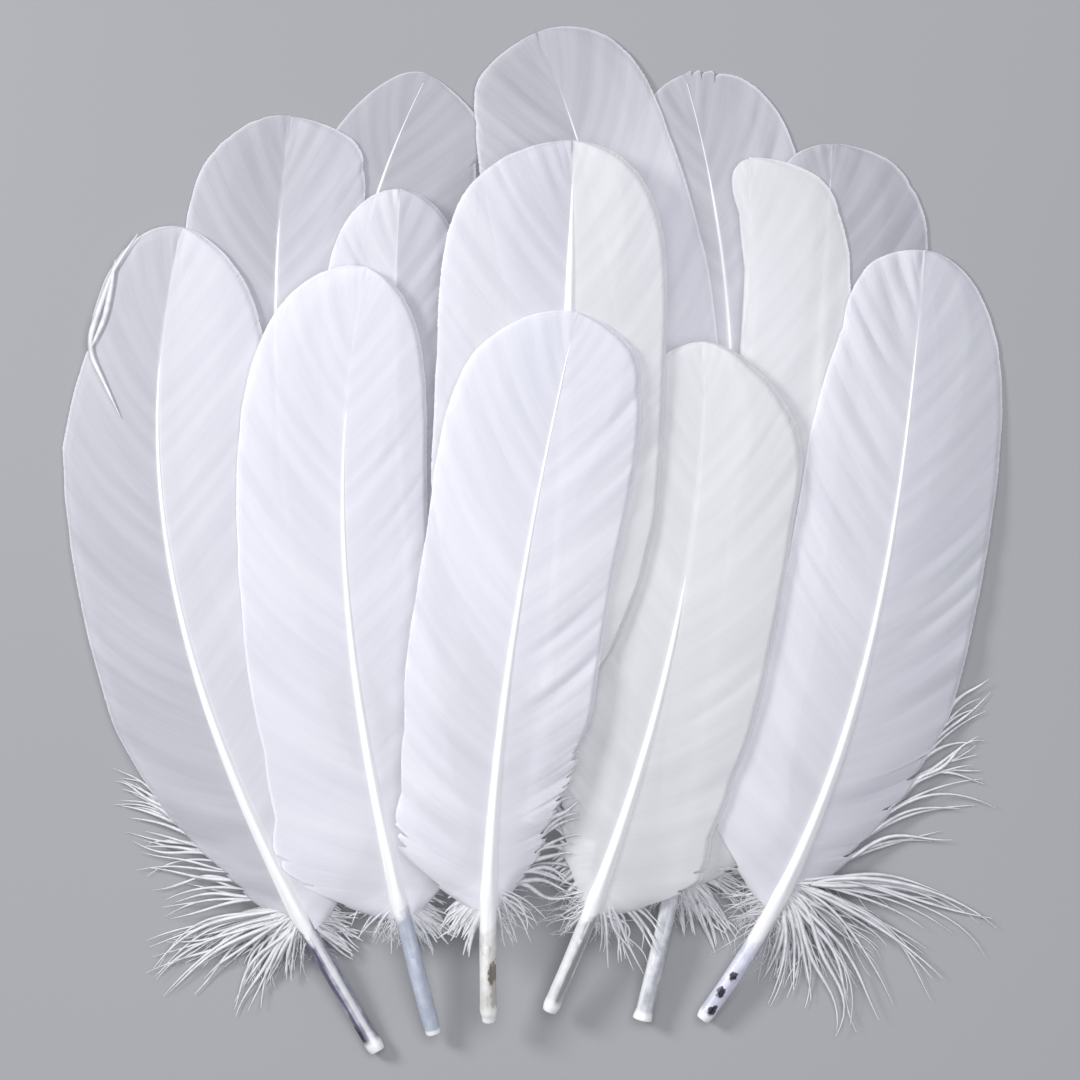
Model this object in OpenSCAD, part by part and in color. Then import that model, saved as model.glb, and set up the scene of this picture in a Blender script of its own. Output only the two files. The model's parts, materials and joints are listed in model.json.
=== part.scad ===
// A fan of white goose quills, lying on a flat surface with the smooth side of each shaft up.
// +Y points from the barrels towards the feather tips, and +Z is up. The origin is on the surface,
// under the middle of the whole fan. Lengths are in millimetres.

/* [Barrel] */
// Radius of the bare round barrel
barrel_r = 1.8; // [1.5:0.1:2.0]
// Radius of the hollow inside the barrel
bore_r = 1.3; // [1.0:0.1:1.4]
// Depth of the hollow from the barrel's open end
bore_depth = 18; // [10:1:20]
// Share of a quill's length that the straight barrel takes
barrel_share = 0.14; // [0.12:0.01:0.16]

/* [Shaft] */
// Radius of the shaft where the vane starts
collar_r = 2.1; // [1.9:0.1:2.3]
// Radius of the shaft a little way up the vane
mid_r = 1.5; // [1.2:0.1:1.8]
// Radius of the shaft at the feather tip
tip_r = 0.25; // [0.2:0.05:0.4]
// How far the shaft sits below its vane, as a share of its own radius
shaft_sink = 0.45; // [0.2:0.05:0.6]

/* [Vane] */
// Thickness of the web of barbs
vane_t = 0.3; // [0.25:0.05:0.4]
// Share of a quill's length below the vane
bare_share = 0.18; // [0.16:0.01:0.2]
// How far the edges of a vane droop below its shaft
camber = 0.7; // [0:0.1:0.8]

/* [Pile] */
// Width of the dome that the pile makes
dome_w = 222; // [216:1:240]
// Length of the dome that the pile makes
dome_l = 246; // [240:1:260]
// Height of the lowest vane over the surface at the middle of the dome
first_height = 2.4; // [2.3:0.1:3]
// Height of a vane over the surface at the rim of the dome
rim_height = 0.5; // [0.4:0.1:0.8]

/* [Hidden] */
// One row for each quill, from the lowest in the pile to the highest:
// name, open end of the barrel, feather tip, sideways bow (+ is to the right) and how much deeper
// it is towards the tip, widths of the left and right vanes, widths of their feet as a share of
// those, reach of the down on the left and right, bluntness of the tip, height above the lowest
// quill
QUILLS = [
    ["back_2",   [-30,  -58],  [-22, 101],  [-15,  0.5],  [18, 20],  [0.60, 0.60],  [ 7,  7],  4.0,   0.0],
    ["back_4",   [ 36,  -60],  [ 33, 101],  [  9,  0.5],  [17, 20],  [0.60, 0.60],  [ 7,  7],  6.5,   0.0],
    ["back_5",   [ 53,  -58],  [ 65,  86],  [  1,  0.5],  [15, 26],  [0.60, 0.60],  [ 7,  7],  3.4,   3.0],
    ["back_3",   [ 16,  -59],  [  1, 110],  [ 12,  0.5],  [23, 21],  [0.60, 0.60],  [ 7,  7],  5.5,   2.4],
    ["back_1",   [-43,  -60],  [-52,  92],  [ -6,  0.5],  [22, 18],  [0.60, 0.60],  [ 7,  7],  4.5,   2.8],
    ["middle_1", [-19,  -62],  [-28,  76],  [ -4,  0.5],  [16, 16],  [0.60, 0.60],  [ 7,  7],  4.5,   5.2],
    ["front_5",  [ 24, -103],  [ 47,  83],  [  6,  0.3],  [ 8, 21],  [0.70, 0.70],  [10,  8],  5.0,   5.2],
    ["front_6",  [ 37, -103],  [ 85,  63],  [ 12, -0.6],  [21, 21],  [0.80, 0.35],  [ 6, 42],  3.6,   7.8],
    ["front_1",  [-33, -110],  [-75,  68],  [-19,  0.5],  [21, 25],  [0.35, 0.80],  [36,  8],  4.2,   7.4],
    ["front_4",  [  4, -101],  [ 37,  43],  [  8,  0.3],  [20, 21],  [0.60, 0.70],  [10,  9],  4.2,  10.4],
    ["front_2",  [-21, -106],  [-35,  59],  [-10,  0.6],  [23, 18],  [0.80, 0.70],  [ 9,  7],  4.0,  10.0],
    ["middle_2", [  0,  -60],  [  9,  86],  [  2,  0.0],  [28, 21],  [0.60, 0.60],  [ 7,  7],  4.5,  13.8],
    ["front_3",  [ -9, -103],  [ 10,  49],  [ -5, -0.4],  [22, 19],  [0.70, 0.50],  [ 9, 10],  4.0,  16.6],
];
PARTS = ["shaft", "left_vane", "right_vane", "down"];

fan_centre = [0.35, 0];     // middle of the whole fan, in the table's own coordinates
dome_centre = [0, 3];
collar_fade = 0.07;         // share of the vane's length over which the collar narrows
barrel_inset = 0.004;       // share of a quill's length that its solid part reaches into the barrel
root_inset = 0.6;           // the web and the down start this share of a radius from the middle
foot_share = 0.26;          // share of a vane's length that its rounded foot takes
shoulder = 0.5;             // share of a vane's length at which it starts to round to the tip
point_width = 0.06;         // width of a vane at its tip, as a share of its full width
vane_end = 0.998;           // share of a quill's length at which the vane ends
least_width = 0.4;
barb_sweep = 0.7;           // rise of the lowest barbs towards the tip, per millimetre outwards
tuft_root = 0.16;           // share of a quill's length where the down grows
tuft_from = -21;            // angles at which a fan of down starts and ends, from straight out of
tuft_to = 45;               // the shaft towards the barrel's open end
tuft_rounding = 0.3;        // how much shorter the last strands of down are
wide_tuft = 30;             // down of this reach or more starts its fan nearer the tip
wide_tuft_from = -48;

shaft_sides = 8;
shaft_rings = 13;
ring_crowding = 1.15;       // rings are closer together near the collar
vane_steps = 14;            // cells along a vane
vane_crowding = 1.9;        // cells are closer together near the tip
barb_steps = 4;             // cells across a vane
down_steps = 6;             // cells round a fan of down
fine = 48;

function name(q) = q[0];
function foot(q) = q[1];
function tip(q) = q[2];
function bow(q) = q[3].x;
function bow_skew(q) = q[3].y;
function vane_width(q, side) = side < 0 ? q[4].x : q[4].y;
function foot_width(q, side) = side < 0 ? q[5].x : q[5].y;
function down_reach(q, side) = side < 0 ? q[6].x : q[6].y;
function bluntness(q) = q[7];
function pile_height(q) = q[8];

function mix(a, b, t) = a + (b - a) * t;
function unit(v) = v / norm(v);
function right_of(v) = [v.y, -v.x];
function clamp01(t) = min(1, max(0, t));

// Height of a vane over the surface. Every quill follows one dome, so vanes never cross.
function dome(p) =
    let (d = [(p.x - dome_centre.x) / dome_w * 2, (p.y - dome_centre.y) / dome_l * 2])
    max(0, 1 - pow(norm(d), 4));
function web_height(q, p) = rim_height + (first_height + pile_height(q)) * dome(p);

// The shaft's line seen from above, and the direction across it to the right
function line(q, t) =
    let (chord = tip(q) - foot(q), depth = 4 * t * (1 - t) * (1 + bow_skew(q) * (t - 0.5)))
    foot(q) + chord * t + unit(right_of(chord)) * bow(q) * depth;
function across(q, t) = unit(right_of(line(q, t + 0.01) - line(q, t - 0.01)));
function share(t) = clamp01((t - bare_share) / (1 - bare_share));
function shaft_r(t) =
    t < barrel_share ? barrel_r
    : t < bare_share ? mix(barrel_r, collar_r, (t - barrel_share) / (bare_share - barrel_share))
    : mix(mid_r, tip_r, share(t)) + (collar_r - mid_r) * exp(-share(t) / collar_fade);
function shaft_point(q, t) =
    let (p = line(q, t), r = shaft_r(t))
    [p.x, p.y, max(web_height(q, p) - shaft_sink * r, r)];

// Width of a vane as a share of its full width: blunt at the tip, narrower at the foot
function outline(q, side, u) =
    u < foot_share ? mix(foot_width(q, side), 1, sin(90 * u / foot_share))
    : u < shoulder ? 1
    : max(point_width, sqrt(1 - pow((u - shoulder) / (1 - shoulder), bluntness(q))));

// A closed solid through rings of points that all have the same even number of points. The cells
// from split_from on are split along their other diagonal.
module sweep(rings, split_from) {
    n = len(rings[0]);
    m = len(rings);
    function cell(a, b, c, d, other) = other ? [[a, b, c], [a, c, d]] : [[a, b, d], [b, c, d]];
    function cap(k, j) = [k * n + j, k * n + j + 1, k * n + n - 2 - j, k * n + n - 1 - j];
    polyhedron(
        points = [for (r = rings) each r],
        faces = [
            for (i = [0:m - 2]) for (j = [0:n - 1]) let (k = (j + 1) % n)
                each cell(i * n + j, i * n + k, (i + 1) * n + k, (i + 1) * n + j, j >= split_from),
            for (j = [0:n / 2 - 2]) let (c = cap(0, j)) each [[c[3], c[2], c[1]], [c[3], c[1], c[0]]],
            for (j = [0:n / 2 - 2]) let (c = cap(m - 1, j)) each [[c[0], c[1], c[2]], [c[0], c[2], c[3]]]
        ]);
}

// A closed sheet of thickness vane_t about a grid of points, rows[i][j]. Its two faces are split
// alike, so they never cross where the sheet is warped.
module sheet(rows, flip) {
    half = [0, 0, vane_t / 2];
    rings = [for (r = rows) concat(
        [for (p = r) p + half],
        [for (j = [len(r) - 1:-1:0]) r[j] - half])];
    sweep(flip ? [for (i = [len(rings) - 1:-1:0]) rings[i]] : rings, len(rows[0]));
}

module barrel(q) {
    end = shaft_point(q, 0);
    run = shaft_point(q, barrel_share) - end;
    lean = acos(run.z / norm(run));
    heading = atan2(run.y, run.x);
    translate(end) rotate([0, lean, heading]) difference() {
        cylinder(r = barrel_r, h = norm(run), $fn = fine);
        translate([0, 0, -1]) cylinder(r = bore_r, h = bore_depth + 1, $fn = fine);
    }
}

// The solid part of the shaft, which starts inside the barrel's closed end
module rachis(q) {
    function ring(t) =
        let (
            c = shaft_point(q, t),
            side = across(q, t),
            ahead = unit(shaft_point(q, min(1, t + 0.01)) - shaft_point(q, t - 0.01)),
            up = cross([side.x, side.y, 0], ahead))
        [for (k = [0:shaft_sides - 1]) let (a = 360 * k / shaft_sides)
            c + shaft_r(t) * (cos(a) * [side.x, side.y, 0] + sin(a) * up)];
    sweep([for (i = [0:shaft_rings])
        ring(mix(barrel_share - barrel_inset, 1, pow(i / shaft_rings, ring_crowding)))], shaft_sides);
}

module shaft(q) {
    color("whitesmoke") {
        barrel(q);
        rachis(q);
    }
}

// side is -1 for the left vane and 1 for the right one
module vane(q, side) {
    width = vane_width(q, side);
    function web(u, v) =
        let (
            root = mix(bare_share, vane_end, u),
            inner = shaft_r(root) * root_inset,
            d = mix(inner, max(width * outline(q, side, u), inner + least_width), v),
            t = root + (1 - u) * barb_sweep * d / norm(tip(q) - foot(q)),
            p = line(q, t) + across(q, t) * side * d)
        [p.x, p.y, web_height(q, p) - camber * pow(d / width, 2) * dome(p)];
    color("white")
        sheet([for (i = [0:vane_steps]) [for (j = [0:barb_steps])
            web(1 - pow(1 - i / vane_steps, vane_crowding), j / barb_steps)]], side > 0);
}

// Loose down at the foot of one vane, as a fan that opens from the shaft
module tuft(q, side) {
    reach = down_reach(q, side);
    root = line(q, tuft_root);
    out = across(q, tuft_root) * side;
    back = unit(foot(q) - root);
    from = reach < wide_tuft ? tuft_from : wide_tuft_from;
    function strand(i, v) =
        let (
            a = mix(from, tuft_to, i / down_steps),
            inner = shaft_r(tuft_root) * root_inset,
            outer = reach * (1 - tuft_rounding * clamp01(a / tuft_to)),
            p = root + (out * cos(a) + back * sin(a)) * mix(inner, outer, v))
        [p.x, p.y, max(web_height(q, p) - camber * dome(p), vane_t / 2)];
    color("white")
        sheet([for (i = [0:down_steps]) [for (j = [0:2]) strand(i, j / 2)]], side < 0);
}

module quill_part(q, part) {
    if (part == "shaft") shaft(q);
    if (part == "left_vane") vane(q, -1);
    if (part == "right_vane") vane(q, 1);
    if (part == "down") {
        tuft(q, -1);
        tuft(q, 1);
    }
}

translate([-fan_centre.x, -fan_centre.y, 0])
    for (q = QUILLS) for (p = PARTS)
        quill_part(q, p);
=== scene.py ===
"""Looks of the fan of white goose quills.

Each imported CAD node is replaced, one to one, by a detailed piece: a hollow tapering shaft, two vanes
built barb by barb, and loose down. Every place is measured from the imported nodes: a quill's line from
its shaft, the height and outline of each vane from the vane's own mesh. The pile is built from the
lowest quill up, and each vane's edges settle on what already lies under them. Lengths are in metres,
and the styles near the end are in millimetres and degrees.
"""

import json

import bpy
import numpy as np
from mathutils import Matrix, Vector

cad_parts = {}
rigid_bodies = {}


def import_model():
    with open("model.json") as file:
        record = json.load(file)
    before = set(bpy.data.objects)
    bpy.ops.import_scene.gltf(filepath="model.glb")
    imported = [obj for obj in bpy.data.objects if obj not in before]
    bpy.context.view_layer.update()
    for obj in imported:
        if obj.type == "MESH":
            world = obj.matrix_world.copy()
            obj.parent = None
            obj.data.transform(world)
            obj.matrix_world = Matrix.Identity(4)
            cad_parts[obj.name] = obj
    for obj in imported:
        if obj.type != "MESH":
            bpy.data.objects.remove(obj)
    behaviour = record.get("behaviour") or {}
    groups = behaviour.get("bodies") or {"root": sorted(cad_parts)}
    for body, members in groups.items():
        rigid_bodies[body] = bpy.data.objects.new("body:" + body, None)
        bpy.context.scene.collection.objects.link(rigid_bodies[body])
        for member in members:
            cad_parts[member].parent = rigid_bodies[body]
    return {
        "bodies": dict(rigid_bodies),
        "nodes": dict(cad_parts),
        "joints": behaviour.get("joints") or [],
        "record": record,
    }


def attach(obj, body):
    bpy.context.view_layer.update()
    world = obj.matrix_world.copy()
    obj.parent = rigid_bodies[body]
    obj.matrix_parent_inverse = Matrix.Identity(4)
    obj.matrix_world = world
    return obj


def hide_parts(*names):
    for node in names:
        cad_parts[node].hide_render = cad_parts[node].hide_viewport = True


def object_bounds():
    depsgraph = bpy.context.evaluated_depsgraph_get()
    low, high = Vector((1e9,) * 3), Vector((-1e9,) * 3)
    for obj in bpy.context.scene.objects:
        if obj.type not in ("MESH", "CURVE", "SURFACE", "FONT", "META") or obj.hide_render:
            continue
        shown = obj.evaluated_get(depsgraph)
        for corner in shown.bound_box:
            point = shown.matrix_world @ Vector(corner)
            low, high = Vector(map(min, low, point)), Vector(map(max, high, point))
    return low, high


MM = 0.001
SIDES = {"left_vane": -1, "right_vane": 1}

# The dome that every quill of the pile follows, as in the CAD
DOME_HALF = (111 * MM, 123 * MM)
DOME_CENTRE = (-0.35 * MM, 3.0 * MM)
RIM_HEIGHT = 0.5 * MM

# The shaft's thickness, as in the CAD: the bare barrel, the collar where the vane starts, the tip
BARREL_R = 1.8 * MM
COLLAR_R = 2.1 * MM
MID_R = 1.5 * MM
TIP_R = 0.25 * MM
BARREL_SHARE = 0.14
BARE_SHARE = 0.18
COLLAR_FADE = 0.07
SHAFT_SINK = 0.45  # how deep the shaft lies in the web, as a share of its radius
UPPER_SINK = 0.8  # the same in the upper half of the vane
LOST_SINK = 1.1  # the same where it is lost under the web
SEAM_OVERLAP = 0.12 * MM  # how far the two vanes cross where the shaft is lost
VANE_FOOT = 0.155  # the loose lowest barbs start a little below the CAD's firm vane
VANE_END = 0.997  # share of a quill's length where its last barb grows
SHAFT_END = 0.985
TIP_DROOP = 1.5  # how far, in mm, a quill's tip settles below the CAD's

# The barbs: their angle out from the shaft and how much they bend on their way, in degrees, at
# shares of the vane's length
BARB_ANGLE = ((0, 0.08, 0.3, 0.8, 1), (78, 62, 45, 34, 8))
BARB_BEND = ((0, 0.2, 0.8, 1), (2, 10, 10, 2))
BARB_PITCH = 0.4 * MM
BARB_STEPS = 30
BARB_RELIEF = 0.004 * MM
CLUMPS = 40  # groups of barbs along a vane that are a little longer or shorter together
ROOT_INSET = 0.6  # barbs grow this share of the shaft's radius out from its middle
TIP_CROWDING = 1.3
CLEARANCE = 0.25 * MM  # between a settled vane and what lies under it

# Rings down the barrel's hollow and round its lip: share of its radius, and mm from its open end
HOLLOW = ((0.02, 18), (0.35, 18), (0.72, 17.5), (0.72, 4), (0.74, 0.1), (0.82, -0.12), (0.93, -0.12))

STRAND_STEPS = 16
STRAND_FLATNESS = 0.35
BARBULE = 0.8 * MM
BARBULE_HALF_WIDTH = 0.022 * MM


def mix(a, b, t):
    return a + (b - a) * t


def smooth(x):
    x = np.clip(x, 0, 1)
    return x * x * (3 - 2 * x)


def soft_min(a, b):
    """The smaller of two heights that aren't negative, with no crease where they are equal."""
    a, b = np.maximum(a, 1e-9), np.maximum(b, 1e-9)
    return (a**-4.0 + b**-4.0) ** -0.25


def right_of(v):
    """Unit vectors to the right of v, seen from above."""
    turned = np.stack([v[..., 1], -v[..., 0]], -1)
    return turned / np.linalg.norm(turned, axis=-1, keepdims=True)


def dome(p):
    """Height of the pile's dome over the rim at points p, from 0 to 1."""
    x = (p[..., 0] - DOME_CENTRE[0]) / DOME_HALF[0]
    y = (p[..., 1] - DOME_CENTRE[1]) / DOME_HALF[1]
    return np.clip(1 - (x * x + y * y) ** 2, 0, 1)


def node_points(frame, node):
    """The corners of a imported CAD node's mesh."""
    mesh = frame["nodes"][node].data
    points = np.empty(len(mesh.vertices) * 3)
    mesh.vertices.foreach_get("co", points)
    return points.reshape(-1, 3)


def outer_chain(points):
    """The outer edge of a set of (along, out) points: the upper side of their convex hull."""
    order = points[np.lexsort((points[:, 1], points[:, 0]))]
    chain = []
    for p in order:
        while len(chain) > 1:
            a, b = chain[-2], chain[-1]
            if (b[0] - a[0]) * (p[1] - a[1]) - (b[1] - a[1]) * (p[0] - a[0]) < 0:
                break
            chain.pop()
        chain.append(p)
    return np.array(chain)


def rounded_path(points, count, radius):
    """Points evenly spread along a polyline, with its corners rounded off over about radius."""
    run = np.r_[0, np.cumsum(np.linalg.norm(np.diff(points, axis=0), axis=1))]
    even = np.linspace(0, run[-1], count)
    path = np.stack([np.interp(even, run, points[:, k]) for k in (0, 1)], -1)
    reach = int(3 * radius / even[1])
    weight = np.exp(-0.5 * (np.arange(-reach, reach + 1) * even[1] / radius) ** 2)
    padded = np.pad(path, ((reach, reach), (0, 0)), "reflect", reflect_type="odd")
    return np.stack([np.convolve(padded[:, k], weight / weight.sum(), "valid") for k in (0, 1)], -1)


class Pile:
    """Height of the top of the pile so far, on a square grid."""

    CELL = 1 * MM

    def __init__(self, low, high):
        margin = 30 * MM
        self.origin = np.array(low[:2]) - margin
        cells = ((np.array(high[:2]) + margin - self.origin) / self.CELL).astype(int) + 2
        self.top = np.zeros(cells)
        self.soft = self.top

    def add(self, points):
        """Raises the top of the pile to points that lie above it."""
        cell = ((points[:, :2] - self.origin) / self.CELL).astype(int)
        np.maximum.at(self.top, (cell[:, 0], cell[:, 1]), points[:, 2])

    def smooth_over(self):
        """Spreads every height by one cell and rounds off the steps, as a vane would on top."""
        soft = self.top
        for axis in (0, 1):
            soft = np.maximum.reduce([np.roll(soft, k, axis) for k in (-1, 0, 1)])
        for axis in (0, 1, 0, 1):
            soft = (np.roll(soft, 1, axis) + 2 * soft + np.roll(soft, -1, axis)) / 4
        self.soft = soft

    def height(self, flat):
        """Height of the smoothed top of the pile at points seen from above."""
        place = (flat - self.origin) / self.CELL - 0.5
        low = np.clip(place.astype(int), 0, np.array(self.soft.shape) - 2)
        x, y = np.moveaxis(place - low, -1, 0)
        i, j = np.moveaxis(low, -1, 0)
        near = mix(self.soft[i, j], self.soft[i, j + 1], y)
        far = mix(self.soft[i + 1, j], self.soft[i + 1, j + 1], y)
        return mix(near, far, x)


class Quill:
    """One quill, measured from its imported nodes."""

    def __init__(self, frame, name, pile, seed):
        self.name = name
        self.pile = pile
        self.rng = np.random.default_rng(seed)
        flat = node_points(frame, f"{name}_shaft")[:, :2]
        self.foot, self.tip = self._ends(flat)
        self.chord = self.tip - self.foot
        self.length = np.linalg.norm(self.chord)
        self.normal = right_of(self.chord)
        t = (flat - self.foot) @ self.chord / self.length**2
        off = (flat - self.foot) @ self.normal
        bow = 4 * t * (1 - t)
        self.bow, self.skew = np.linalg.lstsq(np.stack([bow, bow * (t - 0.5)], -1), off, rcond=None)[0]
        self.outlines = {}
        heights, columns = [], []
        for part, side in SIDES.items():
            points = node_points(frame, f"{name}_{part}")
            along, out = self.measure(points[:, :2], side)
            self.outlines[side] = self._outline(along * self.length, out)
            rise = dome(points[:, :2])
            heights.append(points[:, 2] - RIM_HEIGHT)
            columns.append(np.stack([rise, -rise * (out / out.max()) ** 2], -1))
        self.height, self.camber = np.linalg.lstsq(np.vstack(columns), np.hstack(heights), rcond=None)[0]
        self.lost, self.broad = SHAFTS[name]
        self.rims = {}

    @staticmethod
    def _ends(flat):
        """Middles of the barrel's open end and of the feather tip."""
        low, high = flat[flat[:, 1].argmin()], flat[flat[:, 1].argmax()]
        way = (high - low) / np.linalg.norm(high - low)
        reach = flat @ way
        return (
            flat[reach < reach.min() + 2 * MM].mean(0),
            flat[reach > reach.max() - 1 * MM].mean(0),
        )

    def _outline(self, along, out):
        """The vane's outer edge from its foot to the tip, as (along, out) points. It is rounded
        together with its mirror image, so that the tip is a smooth arch."""
        foot = [VANE_FOOT * self.length, COLLAR_R]
        chain = outer_chain(np.vstack([foot, np.stack([along, out], -1)]))
        both = np.vstack([chain, chain[::-1] * [1, -1]])
        return rounded_path(both, 1000, 1.6 * MM)[:500]

    def line(self, t):
        """The shaft's line seen from above, at shares t of its length."""
        t = np.asarray(t, float)[..., None]
        depth = 4 * t * (1 - t) * (self.bow + self.skew * (t - 0.5))
        return self.foot + self.chord * t + self.normal * depth

    def heading(self, t):
        """Unit vectors along the shaft's line."""
        t = np.asarray(t, float)[..., None]
        slope = 4 * ((1 - 2 * t) * (self.bow + self.skew * (t - 0.5)) + t * (1 - t) * self.skew)
        way = self.chord + self.normal * slope
        return way / np.linalg.norm(way, axis=-1, keepdims=True)

    def place(self, along, out, side):
        """Points that lie a distance out from the shaft, from distances along it."""
        t = along / self.length
        return self.line(t) + right_of(self.heading(t)) * (side * out)[..., None]

    def measure(self, points, side):
        """The reverse of place: shares of the shaft's length, and distances out from it."""
        t = (points - self.foot) @ self.chord / self.length**2
        for _ in range(6):
            gap = points - self.line(t)
            t = t + (gap * self.heading(t)).sum(-1) / self.length
        out = ((points - self.line(t)) * right_of(self.heading(t))).sum(-1) * side
        return t, out

    def web_height(self, points, share_out=0):
        """Height of the CAD's web over the surface, before it settles."""
        return RIM_HEIGHT + (self.height - self.camber * share_out**2) * dome(points)

    def settled(self, flat, height, wish, under=0):
        """A height lowered by wish, in mm, or as far as what lies under it allows."""
        room = height - under - self.pile.height(flat) - CLEARANCE
        return height - soft_min(wish * MM, np.maximum(room, 0))

    def tip_wish(self, t):
        """How far the middle of the vane would settle towards the tip, in mm."""
        return TIP_DROOP * smooth((t - 0.6) / 0.4)

    def hidden(self, t):
        """How far the shaft is lost under the web at share t, from 0 to 1."""
        return smooth((t - self.lost + 0.12) / 0.12)

    def shaft_r(self, t):
        """The shaft's radius at share t of its length."""
        share = np.clip((t - BARE_SHARE) / (1 - BARE_SHARE), 0, 1)
        tapering = mix(MID_R, TIP_R, share) + (COLLAR_R - MID_R) * np.exp(-share / COLLAR_FADE)
        neck = smooth((t - BARREL_SHARE) / (BARE_SHARE - BARREL_SHARE))
        return np.where(t < BARE_SHARE, mix(BARREL_R, COLLAR_R, neck), tapering)

    def shaft_points(self, t):
        """The middle of the shaft at shares t of its length."""
        flat = self.line(t)
        r = self.shaft_r(t)
        sink = mix(SHAFT_SINK, UPPER_SINK, smooth((t - 0.3) / 0.5))
        sink = mix(sink, LOST_SINK, self.hidden(t)) * r
        web = self.settled(flat, self.web_height(flat), self.tip_wish(t), r + sink)
        z = np.maximum(web - sink, r)
        return np.concatenate([flat, z[..., None]], -1)


# ---- Meshes


def new_piece(name, quill, node, points, faces, material, maps):
    """A smooth mesh that rides on the quill's body in place of one CAD node."""
    mesh = bpy.data.meshes.new(name)
    faces = np.asarray(faces, np.int32)
    mesh.vertices.add(len(points))
    mesh.vertices.foreach_set("co", np.asarray(points, np.float32).ravel())
    mesh.loops.add(faces.size)
    mesh.loops.foreach_set("vertex_index", faces.ravel())
    mesh.polygons.add(len(faces))
    mesh.polygons.foreach_set("loop_start", np.arange(0, faces.size, 4, dtype=np.int32))
    mesh.polygons.foreach_set("use_smooth", np.ones(len(faces), bool))
    for layer_name, uv in maps.items():
        layer = mesh.uv_layers.new(name=layer_name)
        layer.data.foreach_set("uv", np.asarray(uv, np.float32)[faces.ravel()].ravel())
    mesh.update(calc_edges=True)
    mesh.validate()
    mesh.materials.append(material)
    piece = bpy.data.objects.new(name, mesh)
    bpy.context.collection.objects.link(piece)
    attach(piece, quill.name)
    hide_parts(node)
    return piece


def grid_faces(rows, columns, closed=False):
    """Quads of a grid of points, row by row. A closed grid joins its last column to its first."""
    i = np.arange(rows - 1)[:, None]
    j = np.arange(columns if closed else columns - 1)[None, :]
    k = (j + 1) % columns
    corners = [i * columns + j, i * columns + k, (i + 1) * columns + k, (i + 1) * columns + j]
    return np.stack(corners, -1)


def spread_out(values, u):
    """A single number, or numbers given evenly from the foot to the tip, at shares u."""
    values = np.atleast_1d(values)
    return np.interp(u, np.linspace(0, 1, len(values)), values)


def folds(rng, u, v, strength):
    """Soft folds along the barbs: broad crests and narrow valleys that grow outwards."""
    height = np.zeros(np.broadcast(u, v).shape)
    for cycles, share in ((3, 1.6), (7, 0.9), (13, 0.8), (19, 0.6), (29, 0.3)):
        phase, drift, fade = rng.uniform(0, 1), rng.uniform(-0.4, 0.4), rng.uniform(0, 1)
        wander = 0.25 * np.sin(2 * np.pi * (1.7 * u + fade))
        crest = 0.5 + 0.5 * np.cos(2 * np.pi * (cycles * u + phase + drift * v + wander))
        swell = 0.5 + 0.5 * np.sin(2 * np.pi * (2.3 * u + fade + 0.4 * v))
        height = height + share * (crest**0.7 - 0.6) * swell
    return height * strength * smooth(v * 1.6)


def partings(rng, style):
    """Where barbs have come apart: place along the vane, how far out the gap starts, its width in
    mm, and the share of the vane that gives way. The barbs near the foot hang in locks."""
    found = [(*split, 0.03) for split in style["splits"]]
    place = 0.015
    while place < style["loose"]:
        found.append((place, rng.uniform(*style["lock_depth"]), rng.uniform(0.15, 0.5), 0.01))
        place += rng.uniform(0.5, 1.5) * style["lock"]
    return sorted(found)


def barb_ends(outline, root, angle):
    """Where barbs that leave their roots at these angles meet the vane's outline."""
    number = np.arange(len(outline))
    ends = np.empty_like(root)
    for i in range(len(root)):
        seen = np.arctan2(*(outline - root[i]).T[::-1])
        place = np.interp(-angle[i], -seen, number)
        ends[i] = [np.interp(place, number, outline[:, k]) for k in (0, 1)]
    return ends


def parted(gaps, u, v):
    """What gaps do to the grid of a vane: how far its points move aside, how much shorter its barbs
    are, which of its faces stay, and which lock each barb belongs to."""
    rows = len(u)
    shift = np.zeros((rows, len(v)))
    notch = np.zeros(rows)
    keep = np.ones((rows - 1, len(v) - 1), bool)
    lock = np.zeros(rows, int)
    for where, depth, opening, give in gaps:
        at = int(np.searchsorted(u, where) // 2 * 2 + 1)
        away = np.arange(rows) - at - 0.5
        pushed = np.sign(away) * opening * MM * np.exp(-np.abs(away) / (rows * give))
        shift += pushed[:, None] * smooth((v - depth) / (1 - depth))
        notch = np.maximum(notch, opening / 12 * np.exp(-((away / (rows * 0.006)) ** 2)))
        keep[at] = v[:-1] < depth
        lock[at + 1 :] += 1
    return shift, notch, keep, lock


def barb_sizes(rng, style, u, lock):
    """Lengths of the barbs, as shares of the way to the outline. Each barb has two rows."""
    rows = len(u)
    jitter = style["lock_jitter"] * rng.normal(size=lock.max() + 1)[lock]
    grouped = 1 + jitter * (u < style["loose"])
    ragged = 1 + style["ragged"] * rng.normal(size=rows // 2)[np.arange(rows) // 2]
    drifting = rng.normal(size=CLUMPS) * style["ragged"] * 2
    clump = 1 + np.interp(np.arange(rows), np.linspace(0, rows, CLUMPS), drifting)
    return grouped * ragged * clump


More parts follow.
